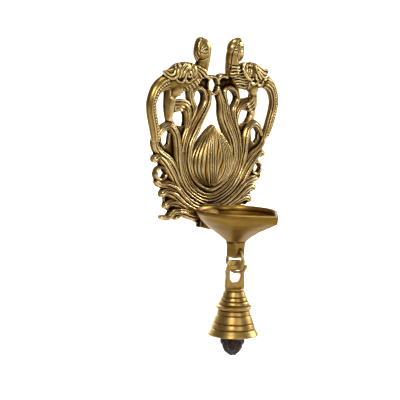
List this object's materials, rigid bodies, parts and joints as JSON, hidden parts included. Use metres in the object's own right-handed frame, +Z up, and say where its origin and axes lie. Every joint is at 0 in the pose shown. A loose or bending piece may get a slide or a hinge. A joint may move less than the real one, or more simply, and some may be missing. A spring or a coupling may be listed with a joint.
{
  "type": "wall-hanging brass oil lamp with bell",
  "caption": "Openwork leaf plate with two long-tailed birds and a lotus bud, a spouted oil bowl on its foot and a bell hung from the bowl by a wire ring.",
  "frame": {"origin": "centre of the hanging eye, where its hole meets the wall", "axes": "+Z up, -Y out of the wall towards the viewer, +X to the viewer's right"},
  "size_m": [0.1098, 0.065, 0.197],
  "materials": {
    "leaf_brass": "antique cast brass, dark in the grooves and rubbed bright on the ridges",
    "bud_brass": "antique cast brass, dark in the flutes",
    "bird_brass": "antique cast brass with engraved feathers",
    "bowl_brass": "satin buffed cast brass",
    "ring_brass": "drawn wire, pale and bright",
    "bell_brass": "turned satin brass with grooves",
    "screw_steel": "plain zinc-plated",
    "dark_iron": "rough, dark and slightly oily"
  },
  "bodies": {
    "root": {"leaf_fan": "leaf_brass", "lotus_bud": "bud_brass", "left_bird": "bird_brass", "right_bird": "bird_brass", "diya_bowl": "bowl_brass", "bowl_screw": "screw_steel"},
    "ring": {"wire_ring": "ring_brass"},
    "bell_body": {"bell": "bell_brass", "crown_staple": "dark_iron"},
    "link": {"clapper_link": "dark_iron"},
    "clapper_body": {"clapper": "dark_iron"}
  },
  "joints": [
    {"name": "ring_swing", "type": "hinge", "parent": "root", "child": "ring", "pos_m": [0, -0.0285, -0.1012], "axis": [0, 1, 0], "range_deg": [-30, 30]},
    {"name": "bell_swing", "type": "hinge", "parent": "ring", "child": "bell_body", "pos_m": [0, -0.0285, -0.11132], "axis": [0.9397, -0.342, 0], "range_deg": [-16, 25]},
    {"name": "link_swing", "type": "hinge", "parent": "bell_body", "child": "link", "pos_m": [0, -0.0285, -0.1315], "axis": [1, 0, 0], "range_deg": [-11, 11]},
    {"name": "clapper_swing", "type": "hinge", "parent": "link", "child": "clapper_body", "pos_m": [0, -0.0285, -0.1433], "axis": [0, 1, 0], "range_deg": [-14, 14]}
  ]
}
